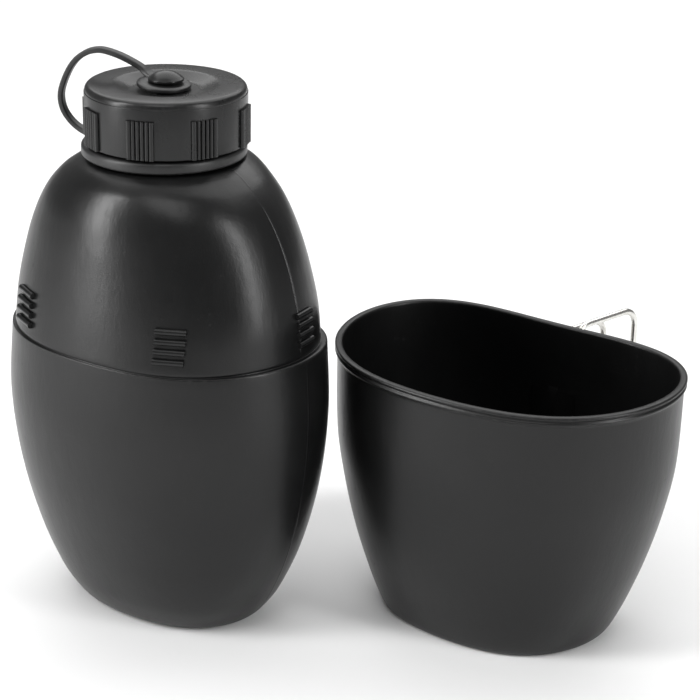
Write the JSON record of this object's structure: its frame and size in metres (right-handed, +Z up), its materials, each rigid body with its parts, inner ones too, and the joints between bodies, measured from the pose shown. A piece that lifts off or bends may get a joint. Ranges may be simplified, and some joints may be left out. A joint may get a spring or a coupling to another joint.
{
  "type": "canteen",
  "caption": "Moulded black plastic canteen: flattened bottle with ribbed screw cap on a rubber strap, and a matching mug with folding wire handles.",
  "frame": {"origin": "on the ground, middle of the bottle's base", "axes": "+Z up along the bottle's neck, -Y the rounded front, +X the end nearer the mug's side"},
  "size_m": [0.2415, 0.1948, 0.214],
  "materials": {
    "bottle_plastic": "satin moulded polyethylene",
    "cap_plastic": "satin moulded",
    "seal_rubber": "smooth",
    "strap_rubber": "satin",
    "mug_plastic": "satin moulded polyethylene",
    "handle_steel": "stamped sheet",
    "wire_steel": "bright drawn wire"
  },
  "bodies": {
    "bottle": {"bottle_body": "bottle_plastic"},
    "strap": {"strap_neck_ring": "strap_rubber", "strap_band": "strap_rubber"},
    "eyelet": {"strap_eyelet": "strap_rubber"},
    "liner": {"cap_liner": "seal_rubber"},
    "cap": {"cap_shell": "cap_plastic", "cap_stud": "cap_plastic"},
    "mug": {"mug_body": "mug_plastic", "handle_bracket": "handle_steel", "handle_rivets": "handle_steel"},
    "handle_outer": {"handle_loop_outer": "wire_steel"},
    "handle_inner": {"handle_loop_inner": "wire_steel"}
  },
  "joints": [
    {"name": "strap_swivel", "type": "hinge", "parent": "bottle", "child": "strap", "pos_m": [0, 0.0019, 0.182], "axis": [0, 0, 1], "continuous": true},
    {"name": "eyelet_rise", "type": "slide", "parent": "strap", "child": "eyelet", "axis": [0, 0, 1], "range_m": [0, 0.0163], "deforming": ["strap_band"]},
    {"name": "liner_rise", "type": "slide", "parent": "bottle", "child": "liner", "axis": [0, 0, 1], "range_m": [0, 0.0163]},
    {"name": "cap_spin", "type": "hinge", "parent": "liner", "child": "cap", "pos_m": [0, 0.0019, 0.2], "axis": [0, 0, 1], "range_deg": [0, 1170]},
    {"name": "mug_lift", "type": "slide", "parent": "bottle", "child": "mug", "axis": [0, 0, 1], "range_m": [0, 0.15]},
    {"name": "outer_loop_swing", "type": "hinge", "parent": "mug", "child": "handle_outer", "pos_m": [0.115, 0.11138, 0.074], "axis": [0, 0, 1], "range_deg": [-75.8, 14.2]},
    {"name": "inner_loop_swing", "type": "hinge", "parent": "mug", "child": "handle_inner", "pos_m": [0.1026, 0.11138, 0.074], "axis": [0, 0, 1], "range_deg": [0, 102]}
  ],
  "couplings": [
    {"joint": "liner_rise", "follows": "cap_spin", "m_per_rad": 0.00079577},
    {"joint": "eyelet_rise", "follows": "cap_spin", "m_per_rad": 0.00079577}
  ]
}
